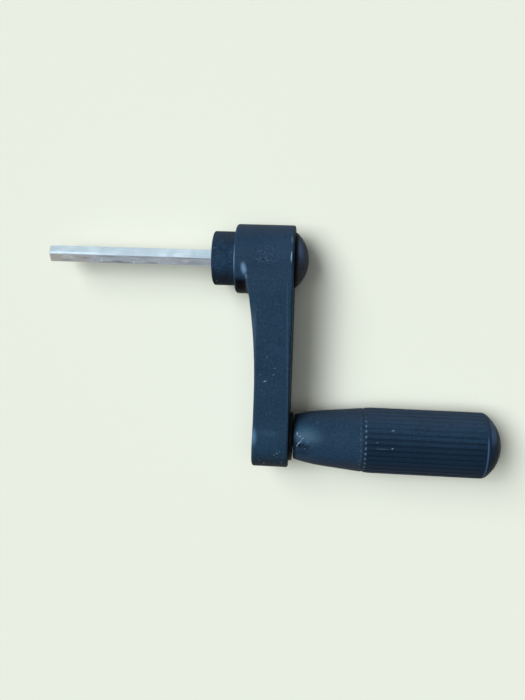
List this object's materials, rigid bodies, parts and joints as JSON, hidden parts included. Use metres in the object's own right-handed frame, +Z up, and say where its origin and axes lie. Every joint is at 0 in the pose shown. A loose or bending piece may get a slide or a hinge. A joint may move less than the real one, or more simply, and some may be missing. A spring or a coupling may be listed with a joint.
{
  "type": "crank handle",
  "caption": "Crank handle lying on its side: hex drive rod, collar, tapering arm with a domed cap, and a fluted revolving grip.",
  "frame": {"origin": "on the drive axis, at the outer face of the drive collar", "axes": "+X along the drive axis towards the grip's side, the hex rod points to -X, the arm hangs to -Y, +Z up with the handle lying on its side"},
  "size_m": [0.2045, 0.1099, 0.0304],
  "materials": {
    "bare_steel": "drawn bar, dull, with light stains",
    "plated_steel": "plated",
    "blackened_steel": "blackened, satin",
    "insert_brass": "turned",
    "arm_plastic": "moulded, satin",
    "grip_plastic": "moulded, satin",
    "collar_plastic": "matte",
    "cap_plastic": "moulded, soft sheen"
  },
  "bodies": {
    "crank": {"hex_rod": "bare_steel", "drive_collar": "collar_plastic", "crank_arm": "arm_plastic", "rod_washer": "plated_steel", "rod_screw": "plated_steel", "hub_cap": "cap_plastic", "boss_insert": "insert_brass", "flange_washer": "blackened_steel", "grip_axle": "blackened_steel", "axle_washer": "blackened_steel"},
    "revolving_grip": {"grip": "grip_plastic", "grip_end_plug": "cap_plastic"}
  },
  "joints": [
    {"name": "grip_spin", "type": "hinge", "parent": "crank", "child": "revolving_grip", "pos_m": [0.0801, -0.08, 0], "axis": [1, 0, 0], "continuous": true}
  ]
}
